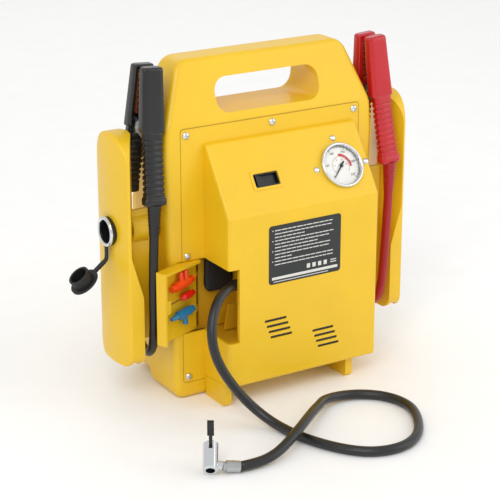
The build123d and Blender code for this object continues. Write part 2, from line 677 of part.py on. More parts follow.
def jaw_frame(plane, flip, ear):
    """The bent steel lever under one cover, with two ears round the pivot pin."""
    line = [(TIP_Y + 5.2, TIP - 6), (TIP_Y + 3.3, 34), (KINK_Y + 5.2, -2), (FOOT_Y + 7.2, FOOT + 4)]
    back = [(y + 1.5, h) for y, h in reversed(line)]
    with BuildPart() as frame:
        with BuildSketch(side_plane(plane).offset(-6.8)):
            Polygon(*[(flip * y, h) for y, h in line + back], align=None)
        extrude(amount=13.6)
        for start in (ear, -ear - 1.5):
            with BuildSketch(side_plane(plane).offset(start)):
                Circle(5)
                Polygon((0, -5), (0, 5), (flip * (KINK_Y + 6.5), 10), (flip * (KINK_Y + 5.9), -10), align=None)
                Circle(2.1, mode=Mode.SUBTRACT)
            extrude(amount=1.5)
    return frame.part


def jaw_contact(plane, flip):
    """The toothed copper jaw plate."""
    teeth, bottom, top = 7, 12.0, TIP - 4.4
    step = (top - bottom) / teeth
    edge = []
    for i in range(teeth):
        edge += [(-0.6 - 0.16 * (teeth - i), bottom + i * step), (-2.4 - 0.16 * (teeth - i), bottom + (i + 0.5) * step)]
    edge.append((-0.6, top))
    outline = [(-9.4, bottom), *edge, (-4.0, top), (-6.6, TIP - 7), (-8.6, 34)]
    with BuildPart() as contact:
        with BuildSketch(side_plane(plane).offset(-6.6)):
            Polygon(*[(flip * y, h) for y, h in outline], align=None)
        extrude(amount=13.2)
    return contact.part


for colour, side in (("black", -1), ("red", 1)):
    clamp = clamp_plane(side)
    grip(clamp, 1, f"{colour}_near_grip")
    grip(clamp, -1, f"{colour}_far_grip")
    with BuildPart() as far_lever:
        add(jaw_frame(clamp, -1, 3.5))
    save(far_lever, f"{colour}_far_lever")
    with BuildPart() as far_jaw:
        add(jaw_contact(clamp, -1))
    save(far_jaw, f"{colour}_far_jaw")

clamps = (clamp_plane(-1), clamp_plane(1))
with BuildPart() as near_levers:
    for clamp in clamps:
        add(jaw_frame(clamp, 1, 5.3))
save(near_levers, "near_levers")

with BuildPart() as near_jaws:
    for clamp in clamps:
        add(jaw_contact(clamp, 1))
save(near_jaws, "near_jaws")

with BuildPart() as pivot_pins:
    for clamp in clamps:
        with BuildSketch(side_plane(clamp).offset(-7.4)):
            Circle(2.05)
        extrude(amount=14.8)
save(pivot_pins, "pivot_pins")

with BuildPart() as clamp_springs:
    for clamp in clamps:
        with BuildSketch(side_plane(clamp).offset(-3.2)):
            Circle(4.4)
            Circle(2.7, mode=Mode.SUBTRACT)
        extrude(amount=6.4)
save(clamp_springs, "clamp_springs")


# ---- cords ----
def cord(points, diameter, name):
    """A cord along straight runs joined by arcs, each as large as its two runs allow."""
    points = [Vector(*p) for p in points]
    radii = []
    for a, b, c in zip(points, points[1:], points[2:]):
        turn = radians((b - a).get_angle(c - b))
        radii.append(0.45 * min((b - a).length, (c - b).length) / tan(turn / 2))
    with BuildPart() as tube:
        with BuildLine() as route:
            FilletPolyline(*points, radius=radii)
        with BuildSketch(Plane(origin=points[0], z_dir=points[1] - points[0])):
            Circle(diameter / 2)
        sweep(path=route.wires()[0])
    length = route.wires()[0].length
    ratio = tube.part.volume / (pi * diameter ** 2 / 4 * length)
    print(name, "length", round(length), "volume ratio", round(ratio, 4), "radii", [round(r) for r in radii])
    save(tube, name)


GLAND_Z = 105.0
LEAD_ROUTE = [(128.6, -35.4, 170), (128.9, -33.6, 142), (128.6, -31.9, 114), (128.0, -30.9, 88),
              (127.4, -28.2, 65), (126.4, -20.7, 52.6), (125.2, -9, 48), (124.3, 2.8, 52.2), (123.6, 10.9, 63),
              (123.2, 13.2, 80), (123, 12.8, GLAND_Z)]
for colour, side in (("black", -1), ("red", 1)):
    start = clamp_plane(side).from_local_coords(Vector(0, FOOT_Y + 5.0, FOOT - 4))
    cord([(start.X, start.Y, start.Z)] + [(side * x, y, z) for x, y, z in LEAD_ROUTE], LEAD_D, f"{colour}_lead")

with BuildPart() as lead_glands:
    for side in (-1, 1):
        with Locations((side * 123, 12.8, GLAND_Z)):
            Cone(5.4, 7.0, 14, align=(Align.CENTER, Align.CENTER, Align.MIN))
        with Locations((side * 115, 12.8, GLAND_Z + 8)):
            Box(16, 11, 12, align=(Align.CENTER, Align.CENTER, Align.MIN))
    add(case_outer, mode=Mode.SUBTRACT)
save(lead_glands, "lead_glands")

HOSE_ROUTE = [(-44.0, -53.0, 113.0), (-58.2, -60.1, 118.6), (-73.7, -68.1, 119.1), (-87.4, -76.4, 112.9),
              (-97.4, -83.9, 101.3), (-102.0, -90.0, 85.9), (-100.6, -94.2, 69.3), (-94.7, -98.0, 53.6),
              (-86.3, -101.6, 39.1), (-76.6, -105.1, 25.3), (-67.2, -113.8, 13.9), (-59.7, -127.4, 6.6),
              (-55.1, -143.8, 4.6), (-51.5, -160.6, 4.6), (-45.6, -176.8, 4.6), (-38.1, -192.2, 4.6),
              (-28.3, -206.4, 4.6), (-15.5, -217.8, 4.6), (0.8, -223.4, 4.6), (17.9, -222.7, 4.6),
              (33.4, -215.4, 4.6), (46.1, -203.8, 4.6), (56.0, -189.8, 4.6), (64.4, -174.9, 4.6),
              (69.7, -158.6, 4.6), (68.5, -141.7, 4.6), (61.3, -126.4, 4.6), (48.7, -115.4, 4.9),
              (33.0, -109.5, 5.7), (16.2, -110.3, 7.5), (0.7, -116.9, 10.2), (-11.0, -128.9, 13.6),
              (-24.0, -139.9, 16.0), (-37.0, -151.1, 17.4), (-50.4, -161.9, 17.7), (-64.4, -171.9, 16.5),
              (-79.1, -180.0, 12.9), (-94.9, -185.0, 8.3), (-111.9, -185.7, 5.5), (-129.0, -183.4, 5.4)]
cord(HOSE_ROUTE, HOSE_D, "air_hose")

with BuildPart() as hose_grommet:
    with BuildSketch(Plane(origin=(-44, -53, 113), z_dir=(1, 0, 0))):
        Circle(6.2)
    extrude(amount=5.8)
save(hose_grommet, "hose_grommet")

# ---- tyre chuck at the hose's end ----
FERRULE_START = Vector(-129, -183.4, 5.4)
FERRULE_END = Vector(-143.3, -178.2, 7.4)
MOUTH = Vector(-155.2, -178.2, 6.2)
CHUCK_DIR = Vector(-0.445, -0.729, -0.521).normalized()
HINGE_DIR = CHUCK_DIR.cross(Vector(0, 0, 1)).normalized()
LEVER_PIVOT = MOUTH - CHUCK_DIR * 22.5

with BuildPart() as hose_ferrule:
    with BuildSketch(Plane(origin=FERRULE_START, z_dir=FERRULE_END - FERRULE_START)):
        Circle(5.2)
    extrude(amount=(FERRULE_END - FERRULE_START).length - 3)
    with BuildSketch(Plane(origin=FERRULE_END, z_dir=FERRULE_START - FERRULE_END)):
        Circle(4.0)
    extrude(amount=3.2)
save(hose_ferrule, "hose_ferrule")

with BuildPart() as chuck_body:
    with BuildSketch(Plane(origin=MOUTH, z_dir=-CHUCK_DIR)):
        Circle(CHUCK_R)
    extrude(amount=CHUCK_LENGTH)
    chamfer(chuck_body.edges().filter_by(GeomType.CIRCLE), 0.8)
    elbow = MOUTH - CHUCK_DIR * 7
    with BuildSketch(Plane(origin=FERRULE_END, z_dir=elbow - FERRULE_END)):
        Circle(4.0)
    extrude(amount=(elbow - FERRULE_END).length)
    with BuildSketch(Plane(origin=MOUTH, z_dir=-CHUCK_DIR)):
        Circle(4.1)
    extrude(amount=12, mode=Mode.SUBTRACT)
    slot_plane = Plane(origin=LEVER_PIVOT - HINGE_DIR * 1.7, x_dir=-CHUCK_DIR, z_dir=HINGE_DIR)
    with BuildSketch(slot_plane):
        with Locations((4, 0)):
            Rectangle(16, 20)
    extrude(amount=3.4, mode=Mode.SUBTRACT)
    with BuildSketch(Plane(origin=LEVER_PIVOT - HINGE_DIR * 8, z_dir=HINGE_DIR)):
        Circle(1.25)
    extrude(amount=16, mode=Mode.SUBTRACT)
save(chuck_body, "chuck_body")

with BuildPart() as chuck_pin:
    with BuildSketch(Plane(origin=LEVER_PIVOT - HINGE_DIR * 6.3, z_dir=HINGE_DIR)):
        Circle(1.2)
    extrude(amount=12.6)
save(chuck_pin, "chuck_pin")

with BuildPart() as chuck_lever:
    lever_plane = Plane(origin=LEVER_PIVOT - HINGE_DIR * 1.5, x_dir=Vector(0, 0, 1).cross(HINGE_DIR), z_dir=HINGE_DIR)
    with BuildSketch(lever_plane) as lever_side:
        Circle(3)
        Polygon((-2.8, 0), (-3.4, 9), (-2.2, 25), (1.6, 25), (1.6, 9), (2.8, 0), align=None)
        Circle(1.25, mode=Mode.SUBTRACT)
    extrude(amount=3.0)
    with BuildSketch(lever_plane.offset(-1.4)):
        Polygon((-3.0, 12), (-2.2, 25.5), (1.8, 25.5), (0.4, 12), align=None)
    extrude(amount=5.8)
save(chuck_lever, "chuck_lever")

# ---- inside: battery, compressor, board ----
BATTERY = (181.0, 76.0)
BATTERY_Y = 28.6
BATTERY_Z = (8.8, 168.0)
with BuildPart() as battery_case:
    with BuildSketch(Plane.XY.offset(BATTERY_Z[0])):
        with Locations((0, BATTERY_Y)):
            RectangleRounded(*BATTERY, 4)
    extrude(amount=BATTERY_Z[1] - BATTERY_Z[0])
    with BuildSketch(Plane.XY.offset(BATTERY_Z[0] + 3)):
        with Locations((0, BATTERY_Y)):
            with GridLocations(29.5, 0, 6, 1):
                Rectangle(27.5, BATTERY[1] - 6)
    extrude(amount=BATTERY_Z[1], mode=Mode.SUBTRACT)
save(battery_case, "battery_case")

with BuildPart() as battery_plates:
    with BuildSketch(Plane.XY.offset(BATTERY_Z[0] + 3.2)):
        with Locations((0, BATTERY_Y)):
            with GridLocations(29.5, 0, 6, 1):
                Rectangle(24, 62)
    extrude(amount=68)
save(battery_plates, "battery_plates")

with BuildPart() as battery_lid:
    with BuildSketch(Plane.XY.offset(BATTERY_Z[1])):
        with Locations((0, BATTERY_Y)):
            RectangleRounded(*BATTERY, 4)
    extrude(amount=7)
    with BuildSketch(Plane.XY.offset(BATTERY_Z[1] + 4)):
        with Locations((-78, BATTERY_Y - 26), (78, BATTERY_Y - 26)):
            Rectangle(18, 18)
    extrude(amount=4, mode=Mode.SUBTRACT)
save(battery_lid, "battery_lid")

with BuildPart() as battery_terminals:
    for x in (-78, 78):
        with Locations((x, BATTERY_Y - 26, BATTERY_Z[1] + 4)):
            Box(13, 13, 3, align=(Align.CENTER, Align.CENTER, Align.MIN))
            Cylinder(4, 12, align=(Align.CENTER, Align.CENTER, Align.MIN))
save(battery_terminals, "battery_terminals")

PUMP_Y = -49.0
with BuildPart() as compressor_motor:
    with BuildSketch(Plane.YZ.offset(-22)):
        with Locations((PUMP_Y, 60)):
            Circle(18)
    extrude(amount=64)
    with BuildSketch(Plane.YZ.offset(-28)):
        with Locations((PUMP_Y, 60)):
            Circle(8)
    extrude(amount=8)
    fillet(compressor_motor.edges().filter_by(GeomType.CIRCLE).group_by(Axis.X)[-1], 2)
save(compressor_motor, "compressor_motor")

with BuildPart() as compressor_crankcase:
    with BuildSketch(Plane.YZ.offset(42.3)):
        with Locations((PUMP_Y, 60)):
            RectangleRounded(36, 40, 6)
    extrude(amount=38)
save(compressor_crankcase, "compressor_crankcase")

with BuildPart() as compressor_cylinder:
    with Locations((61, PUMP_Y, 80)):
        Cylinder(11, 28, align=(Align.CENTER, Align.CENTER, Align.MIN))
    for i in range(5):
        with Locations((61, PUMP_Y, 83.5 + 5 * i)):
            Cylinder(16, 1.6, align=(Align.CENTER, Align.CENTER, Align.MIN))
    with BuildSketch(Plane.XY.offset(108)):
        with Locations((61, PUMP_Y)):
            RectangleRounded(32, 32, 4)
    extrude(amount=9)
save(compressor_cylinder, "compressor_cylinder")

with BuildPart() as air_pipe:
    with BuildLine() as pipe_route:
        FilletPolyline((61, PUMP_Y, 117), (61, PUMP_Y, 130), (-24, -51, 130), (-24, -53, 113), (-35.8, -53, 113),
                       radius=5)
    with BuildSketch(Plane(origin=(61, PUMP_Y, 117), z_dir=(0, 0, 1))):
        Circle(3)
    sweep(path=pipe_route.wires()[0])
save(air_pipe, "air_pipe")

with BuildPart() as circuit_board:
    with BuildSketch(Plane.XZ.offset(10)):
        with Locations((-20, 222)):
            Rectangle(84, 52)
    extrude(amount=1.6)
    with Locations((-40, -6, 222)):
        Box(15, 8, 15)
    with Locations((-5, -7, 214)):
        Box(20, 6, 9)
save(circuit_board, "circuit_board")


# ---- status lights, test button and charging socket on the front ----
with BuildPart() as status_lights:
    with BuildSketch(Plane.XZ.offset(-33)):
        with Locations(*[(x, CONTROLS_Z) for x in LIGHTS_X]):
            Circle(2.4)
    extrude(amount=-5.4)
    fillet(status_lights.edges().group_by(Axis.Y)[-1], 1.2)
save(status_lights, "status_lights")

with BuildPart() as test_button:
    with BuildSketch(Plane.XZ.offset(-33)):
        with Locations((BUTTON_X, CONTROLS_Z)):
            Circle(6.5)
    extrude(amount=-1.6)
    with BuildSketch(Plane.XZ.offset(-33)):
        with Locations((BUTTON_X, CONTROLS_Z)):
            Circle(5.0)
    extrude(amount=-7.2)
    fillet(test_button.edges().group_by(Axis.Y)[-1], 0.8)
save(test_button, "test_button")

with BuildPart() as charge_jack:
    with BuildSketch(Plane.XZ.offset(-22)):
        with Locations((JACK_X, CONTROLS_Z)):
            Circle(5.5)
    extrude(amount=-16.8)
    with BuildSketch(Plane.XZ.offset(-38.01)):
        with Locations((JACK_X, CONTROLS_Z)):
            Circle(7.5)
    extrude(amount=-1.2)
    with BuildSketch(Plane.XZ.offset(-26)):
        with Locations((JACK_X, CONTROLS_Z)):
            Circle(2.75)
    extrude(amount=-16, mode=Mode.SUBTRACT)
    with BuildSketch(Plane.XZ.offset(-25)):
        with Locations((JACK_X, CONTROLS_Z)):
            Circle(1.0)
    extrude(amount=-11)
save(charge_jack, "charge_jack")
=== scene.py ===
import bpy
import math
import numpy as np
from mathutils import Matrix, Vector


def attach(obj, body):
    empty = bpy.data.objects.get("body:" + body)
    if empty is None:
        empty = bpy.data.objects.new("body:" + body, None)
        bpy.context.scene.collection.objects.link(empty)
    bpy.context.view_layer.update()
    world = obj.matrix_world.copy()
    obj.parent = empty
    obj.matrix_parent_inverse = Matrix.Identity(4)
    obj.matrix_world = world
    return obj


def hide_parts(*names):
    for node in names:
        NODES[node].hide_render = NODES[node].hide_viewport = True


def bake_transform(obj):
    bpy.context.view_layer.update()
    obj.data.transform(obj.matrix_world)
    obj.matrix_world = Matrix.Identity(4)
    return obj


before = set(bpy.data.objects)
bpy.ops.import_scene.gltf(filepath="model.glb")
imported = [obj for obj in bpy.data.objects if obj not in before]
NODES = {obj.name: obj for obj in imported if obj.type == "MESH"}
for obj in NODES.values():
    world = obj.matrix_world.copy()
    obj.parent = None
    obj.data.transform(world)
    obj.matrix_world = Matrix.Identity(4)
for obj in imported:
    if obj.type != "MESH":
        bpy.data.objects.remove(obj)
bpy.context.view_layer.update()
MM = 0.001
X_DIR = np.array([1.0, 0, 0])
Z_DIR = np.array([0, 0, 1.0])


# ---- meshes from arrays ----
def placed(name, data):
    """A new object with this data, linked to the scene."""
    made = bpy.data.objects.new(name, data)
    bpy.context.scene.collection.objects.link(made)
    return made


def shape_from(name, points, faces, look, smooth=True, uv=None):
    """A mesh object from an array of points in millimetres and a list of faces."""
    mesh = bpy.data.meshes.new(name)
    mesh.from_pydata((np.asarray(points, float) * MM).tolist(), [], faces)
    mesh.update()
    if smooth:
        mesh.polygons.foreach_set("use_smooth", np.ones(len(mesh.polygons), bool))
    if uv is not None:
        layer = mesh.uv_layers.new(name="UVMap")
        corner = np.empty(len(mesh.loops), np.int32)
        mesh.loops.foreach_get("vertex_index", corner)
        layer.data.foreach_set("uv", uv[corner].astype(np.float32).ravel())
    mesh.materials.append(look)
    return placed(name, mesh)


def piece_from(name, points, faces, look, body, smooth=True, uv=None):
    """A mesh object that rides on a body."""
    piece = shape_from(name, points, faces, look, smooth, uv)
    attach(piece, body)
    return piece


def full_turn(steps):
    """Evenly spaced angles of one turn, in radians, without the last one."""
    return np.arange(steps) / steps * 2 * math.pi


def squared(angle, power):
    """cos and sin of an angle, each raised to a power with its sign kept: the sides of a rounded rectangle."""
    c, s = np.cos(angle), np.sin(angle)
    return np.sign(c) * np.abs(c) ** power, np.sign(s) * np.abs(s) ** power


def grid_faces(rows, around, start=0, cap=True):
    """Quads of a closed band of rows by around points, and a fan to one pole point at each end.
    The poles are the two points after the grid, first the low row's and then the high row's."""
    i, j = np.meshgrid(np.arange(rows - 1), np.arange(around), indexing="ij")
    k = (j + 1) % around
    quads = np.stack([i * around + j, i * around + k, (i + 1) * around + k, (i + 1) * around + j], -1)
    faces = (quads.reshape(-1, 4) + start).tolist()
    if cap:
        j = np.arange(around)
        k = (j + 1) % around
        low, high = rows * around, rows * around + 1
        faces += (np.stack([k, j, np.full(around, low)], -1) + start).tolist()
        top = (rows - 1) * around
        faces += (np.stack([top + j, top + k, np.full(around, high)], -1) + start).tolist()
    return faces


def outward(piece):
    """Turns the faces of a closed piece outwards where their signed volume is negative."""
    mesh = piece.data
    mesh.calc_loop_triangles()
    co = np.empty(len(mesh.vertices) * 3, np.float32)
    mesh.vertices.foreach_get("co", co)
    co = co.reshape(-1, 3)
    tri = np.empty(len(mesh.loop_triangles) * 3, np.int32)
    mesh.loop_triangles.foreach_get("vertices", tri)
    a, b, c = (co[tri.reshape(-1, 3)[:, n]] for n in range(3))
    if np.einsum("ij,ij->", a, np.cross(b, c)) < 0:
        mesh.flip_normals()
    return piece


def spline_line(name, route):
    """The points of a NURBS spline of order 3 whose control points are the route, in millimetres."""
    curve = bpy.data.curves.new(name + "_route", "CURVE")
    curve.dimensions = "3D"
    curve.resolution_u = 10
    spline = curve.splines.new("NURBS")
    spline.points.add(len(route) - 1)
    spline.points.foreach_set("co", np.c_[np.array(route, float) * MM, np.ones(len(route))].ravel())
    spline.order_u = 3
    spline.use_endpoint_u = True
    holder = placed(name + "_route", curve)
    bpy.context.view_layer.update()
    mesh = bpy.data.meshes.new_from_object(holder)
    line = np.empty(len(mesh.vertices) * 3, np.float32)
    mesh.vertices.foreach_get("co", line)
    bpy.data.objects.remove(holder)
    bpy.data.meshes.remove(mesh)
    return line.reshape(-1, 3).astype(float) / MM


def carried(line):
    """Tangent, side and up directions along a line, each side carried over from the last without twist."""
    t = np.gradient(line, axis=0)
    t /= np.linalg.norm(t, axis=1)[:, None]
    side = np.empty_like(t)
    first = np.cross(t[0], (0.31, 0.2, 0.93))
    side[0] = first / np.linalg.norm(first)
    for n in range(1, len(t)):
        s = side[n - 1] - t[n] * side[n - 1].dot(t[n])
        side[n] = s / np.linalg.norm(s)
    return t, side, np.cross(t, side)


def along(line):
    """Distance along a line at each of its points."""
    return np.r_[0, np.cumsum(np.linalg.norm(np.diff(line, axis=0), axis=1))]


def tube(name, line, radius, look, body, around=24):
    """A round profile carried along a line: point = line(s) + r(s) (cos a side + sin a up).
    Its UV is the distance along in millimetres and the share of a turn around."""
    t, side, up = carried(line)
    s = along(line)
    r = radius(s) if callable(radius) else np.full(len(line), float(radius))
    a = full_turn(around)
    ring = np.cos(a)[None, :, None] * side[:, None, :] + np.sin(a)[None, :, None] * up[:, None, :]
    points = (line[:, None, :] + r[:, None, None] * ring).reshape(-1, 3)
    points = np.r_[points, [line[0]], [line[-1]]]
    u, v = np.meshgrid(s, a / (2 * math.pi), indexing="ij")
    uv = np.r_[np.stack([u.ravel(), v.ravel()], -1), [[0, 0]], [[s[-1], 0]]]
    return outward(piece_from(name, points, grid_faces(len(line), around), look, body, uv=uv))


# ---- finishes ----
def node(tree, kind, **inputs):
    """A shader node with its named inputs set."""
    made = tree.nodes.new(kind)
    for key, value in inputs.items():
        made.inputs[key.replace("_", " ")].default_value = value
    return made


def linear(code):
    """The linear colour of a web colour code."""
    value = np.array([int(code[n:n + 2], 16) / 255 for n in (0, 2, 4)])
    return tuple(np.where(value <= 0.04045, value / 12.92, ((value + 0.055) / 1.055) ** 2.4)) + (1.0,)


def shade(colour, factor):
    """A colour made darker or lighter by a factor."""
    return tuple(min(c * factor, 1.0) for c in colour[:3]) + (1.0,)


def blank(name):
    """A new material with nodes, its node tree and its shader."""
    made = bpy.data.materials.new(name)
    made.use_nodes = True
    return made, made.node_tree, made.node_tree.nodes["Principled BSDF"]


def maths(tree, operation, *values):
    """The output of a maths node, its inputs being numbers or the outputs of other nodes."""
    made = tree.nodes.new("ShaderNodeMath")
    made.operation = operation
    for socket, value in zip(made.inputs, values):
        if isinstance(value, (int, float)):
            socket.default_value = value
        else:
            tree.links.new(value, socket)
    return made.outputs[0]


def finish(name, code, rough, grain=900.0, bump=0.05, depth=0.0002, vary=0.06, patch=24.0, metallic=0.0,
           coat=0.0, scuff=0.12, stretch=None):
    """A moulded or metal finish: broad patches vary its colour and roughness, a fine grain gives bump."""
    made, tree, shader = blank(name)
    link = tree.links.new
    shader.inputs["Metallic"].default_value = metallic
    shader.inputs["Coat Weight"].default_value = coat
    shader.inputs["Coat Roughness"].default_value = 0.15
    place = tree.nodes.new("ShaderNodeTexCoord")
    source = place.outputs["Object"]
    if stretch:
        mapping = tree.nodes.new("ShaderNodeMapping")
        mapping.inputs["Scale"].default_value = stretch
        link(source, mapping.inputs["Vector"])
        source = mapping.outputs["Vector"]
    broad = node(tree, "ShaderNodeTexNoise", Scale=patch, Detail=4.0, Roughness=0.55)
    fine = node(tree, "ShaderNodeTexNoise", Scale=grain, Detail=3.0, Roughness=0.6)
    link(place.outputs["Object"], broad.inputs["Vector"])
    link(source, fine.inputs["Vector"])
    ramp = tree.nodes.new("ShaderNodeValToRGB")
    colour = linear(code)
    ramp.color_ramp.elements[0].position = 0.3
    ramp.color_ramp.elements[0].color = shade(colour, 1 - vary)
    ramp.color_ramp.elements[1].position = 0.7
    ramp.color_ramp.elements[1].color = shade(colour, 1 + vary)
    link(broad.outputs["Fac"], ramp.inputs["Fac"])
    link(ramp.outputs["Color"], shader.inputs["Base Color"])
    spread = node(tree, "ShaderNodeMapRange", From_Min=0.3, From_Max=0.7, To_Min=max(rough - scuff / 2, 0.02),
                  To_Max=min(rough + scuff / 2, 1.0))
    link(broad.outputs["Fac"], spread.inputs["Value"])
    link(spread.outputs["Result"], shader.inputs["Roughness"])
    raised = node(tree, "ShaderNodeBump", Strength=bump, Distance=depth)
    link(fine.outputs["Fac"], raised.inputs["Height"])
    link(raised.outputs["Normal"], shader.inputs["Normal"])
    return made


def braided(name, code, pitch, rough, depth, strands=10):
    """A braided jacket: two slanting sets of strands over the tube's own UV, crossing like a weave."""
    made, tree, shader = blank(name)
    link = tree.links.new
    shader.inputs["Roughness"].default_value = rough
    shader.inputs["Coat Weight"].default_value = 0.15
    place = tree.nodes.new("ShaderNodeUVMap")
    place.uv_map = "UVMap"
    split = tree.nodes.new("ShaderNodeSeparateXYZ")
    link(place.outputs["UV"], split.inputs["Vector"])

    def sine(sign):
        """sin of 2 pi (distance / pitch + sign * strands * share of a turn)."""
        lengthwise = maths(tree, "MULTIPLY", split.outputs["X"], 2 * math.pi / pitch)
        slanted = maths(tree, "MULTIPLY_ADD", split.outputs["Y"], sign * 2 * math.pi * strands, lengthwise)
        return maths(tree, "SINE", slanted)

    crossing = maths(tree, "MULTIPLY", sine(1), sine(-1))
    # the weave's pattern is the braid's own, but its colour follows the weave's height: the lighter crests and darker
    # hollows are painted highlight and painted shade
    ramp = tree.nodes.new("ShaderNodeValToRGB")
    colour = linear(code)
    ramp.color_ramp.elements[0].color = shade(colour, 0.55)
    ramp.color_ramp.elements[1].color = shade(colour, 1.5)
    level = node(tree, "ShaderNodeMapRange", From_Min=-1.0)
    link(crossing, level.inputs["Value"])
    link(level.outputs["Result"], ramp.inputs["Fac"])
    link(ramp.outputs["Color"], shader.inputs["Base Color"])
    raised = node(tree, "ShaderNodeBump", Strength=0.6, Distance=depth)
    link(level.outputs["Result"], raised.inputs["Height"])
    link(raised.outputs["Normal"], shader.inputs["Normal"])
    return made


def clear(name):
    """Thin clear plastic with a faint haze."""
    made = finish(name, "FFFFFF", 0.05, bump=0.01, vary=0.01, scuff=0.02)
    shader = made.node_tree.nodes["Principled BSDF"]
    shader.inputs["Transmission Weight"].default_value = 1.0
    shader.inputs["IOR"].default_value = 1.2
    shader.inputs["Alpha"].default_value = 0.35
    return made


YELLOW = finish("case_yellow", "E8BC16", 0.4, grain=1400, bump=0.12, depth=0.0002, vary=0.03, coat=0.12)
# the pocket's own yellow painted darker: painted shade for the inside of the recess, used on the bin, its ribs and its
# shelf
POCKET_SHADED = finish("pocket_yellow_painted_shade", "CF9C10", 0.5, grain=900, bump=0.15, vary=0.1)
SEAM = finish("seam_shadow", "B08A12", 0.6, grain=900, bump=0.1, vary=0.1)
BLACK = finish("moulded_black", "161617", 0.42, grain=1400, bump=0.1, vary=0.08)
GRIP_BLACK = finish("grip_black", "0F0F11", 0.28, grain=1100, bump=0.08, vary=0.08, coat=0.2)
GRIP_RED = finish("grip_red", "B80014", 0.28, grain=1100, bump=0.08, vary=0.05, coat=0.25)
LEAD_BLACK = finish("lead_black", "111113", 0.32, grain=500, bump=0.08, vary=0.08)
LEAD_RED = finish("lead_red", "A0081C", 0.34, grain=500, bump=0.08, vary=0.05)
HOSE = braided("hose_braid", "141416", 3.4, 0.3, 0.0003)
RUBBER = finish("strap_rubber", "161616", 0.62, grain=700, bump=0.15, vary=0.08)
CHROME = finish("bright_chrome", "D9DBDE", 0.12, grain=600, bump=0.02, vary=0.02, metallic=1.0, scuff=0.06)
STEEL = finish("zinc_steel", "A9ACB0", 0.34, grain=400, bump=0.06, vary=0.05, metallic=1.0, stretch=(1, 1, 14))
COPPER = finish("jaw_copper", "C4703C", 0.32, grain=700, bump=0.08, vary=0.12, metallic=1.0)
ALLOY = finish("crimped_alloy", "B9BABC", 0.3, grain=900, bump=0.06, vary=0.05, metallic=1.0)
DIAL = finish("dial_card", "F3F2EC", 0.5, grain=1800, bump=0.03, vary=0.015)
INK = finish("ink_black", "151515", 0.5, grain=1800, bump=0.03, vary=0.05)
INK_RED = finish("ink_red", "C81E1E", 0.5, grain=1800, bump=0.03, vary=0.05)
INK_WHITE = finish("ink_white", "D9D9D2", 0.5, grain=1800, bump=0.03, vary=0.03)
LABEL = finish("label_film", "232527", 0.36, grain=1200, bump=0.05, vary=0.05)
ORANGE = finish("adaptor_orange", "F04A10", 0.3, grain=900, bump=0.05, vary=0.05, coat=0.3)
RED_TIP = finish("adaptor_red", "E01C10", 0.3, grain=900, bump=0.05, vary=0.05, coat=0.3)
BLUE = finish("adaptor_blue", "1C7AA8", 0.3, grain=900, bump=0.05, vary=0.05, coat=0.3)
LAMP = finish("lamp_lens", "C02018", 0.15, grain=300, bump=0.05, vary=0.1, coat=0.5)
BOARD = finish("board_green", "1E6038", 0.4, grain=300, bump=0.2, vary=0.2)
LEAD_METAL = finish("dull_lead", "6E7072", 0.55, grain=300, bump=0.2, vary=0.15, metallic=0.8)
CLEAR = clear("gauge_glass")

FINISHES = {
    YELLOW: "front_shell rear_shell rear_cover left_clamp_holder right_clamp_holder storage_door",
    POCKET_SHADED: "storage_bin",
    BLACK: "switch_housing switch_rocker socket_barrel lead_glands hose_grommet air_pipe test_button charge_jack "
           "battery_case battery_lid chuck_lever",
    LABEL: "rating_label",
    CHROME: "gauge_bezel socket_ring chuck_body inflating_needle cover_screws shell_screws gauge_screws",
    STEEL: "gauge_case door_hinge_pin black_far_lever red_far_lever near_levers pivot_pins clamp_springs chuck_pin "
           "compressor_motor",
    COPPER: "black_far_jaw red_far_jaw near_jaws",
    ALLOY: "hose_ferrule compressor_crankcase compressor_cylinder",
    DIAL: "gauge_dial", INK: "gauge_needle", CLEAR: "gauge_lens", ORANGE: "valve_adaptor", RED_TIP: "needle_adaptor",
    BLUE: "taper_adaptor", RUBBER: "cap_strap socket_cap", LAMP: "status_lights", BOARD: "circuit_board",
    LEAD_METAL: "battery_plates battery_terminals",
    GRIP_BLACK: "black_near_grip black_far_grip", GRIP_RED: "red_near_grip red_far_grip",
    HOSE: "air_hose", LEAD_BLACK: "black_lead", LEAD_RED: "red_lead",
}
for look, names in FINISHES.items():
    for name in names.split():
        NODES[name].data.materials.clear()
        NODES[name].data.materials.append(look)

# ---- camera ----
LENS = 122.9
camera = placed("camera", bpy.data.cameras.new("camera"))
camera.data.lens = LENS
camera.data.sensor_width = 36
camera.matrix_world = Matrix(((0.85307, 0.17570, -0.49132, -0.80679), (-0.52180, 0.28691, -0.80338, -1.30800),
                              (0.0, 0.94171, 0.33644, 0.67128), (0, 0, 0, 1)))
bpy.context.scene.camera = camera
bpy.context.scene.view_settings.view_transform = "Standard"

# ---- cords ----
LEAD_ROUTE = [(128.6, -35.4, 170), (128.9, -33.6, 142), (128.6, -31.9, 114), (128.0, -30.9, 88),
              (127.4, -28.2, 65), (126.4, -20.7, 52.6), (125.2, -9, 48), (124.3, 2.8, 52.2), (123.6, 10.9, 63),
              (123.2, 13.2, 80), (123, 12.8, 105)]
LEAD_D, HOSE_D = 8.6, 9.0
LEAN = math.atan2(8.5, 121.5)  # how far each clamp leans in towards the case
PIVOT = np.array([119.5 + 55.5 * math.tan(LEAN), -11.0, 265.0])
TIP, FOOT = 55.5, -66.0  # heights of a clamp's two ends above its pivot
LEAD_DEPTH = -25.0  # a lead's place in front of its pivot
LEAD_SLEEVE, HOSE_SLEEVE = 27, 24  # lengths of lead and hose that lie in their sleeves


def clamp_point(side, across, depth, height):
    """A point of the clamp's own frame, turned by the lean of its leads, in millimetres."""
    c, s = math.cos(LEAN), math.sin(LEAN)
    x = side * (PIVOT[0] - s * np.asarray(height)) + c * np.asarray(across)
    z = PIVOT[2] + side * s * np.asarray(across) + c * np.asarray(height)
    return np.stack(np.broadcast_arrays(x, PIVOT[1] + np.asarray(depth), z), -1)


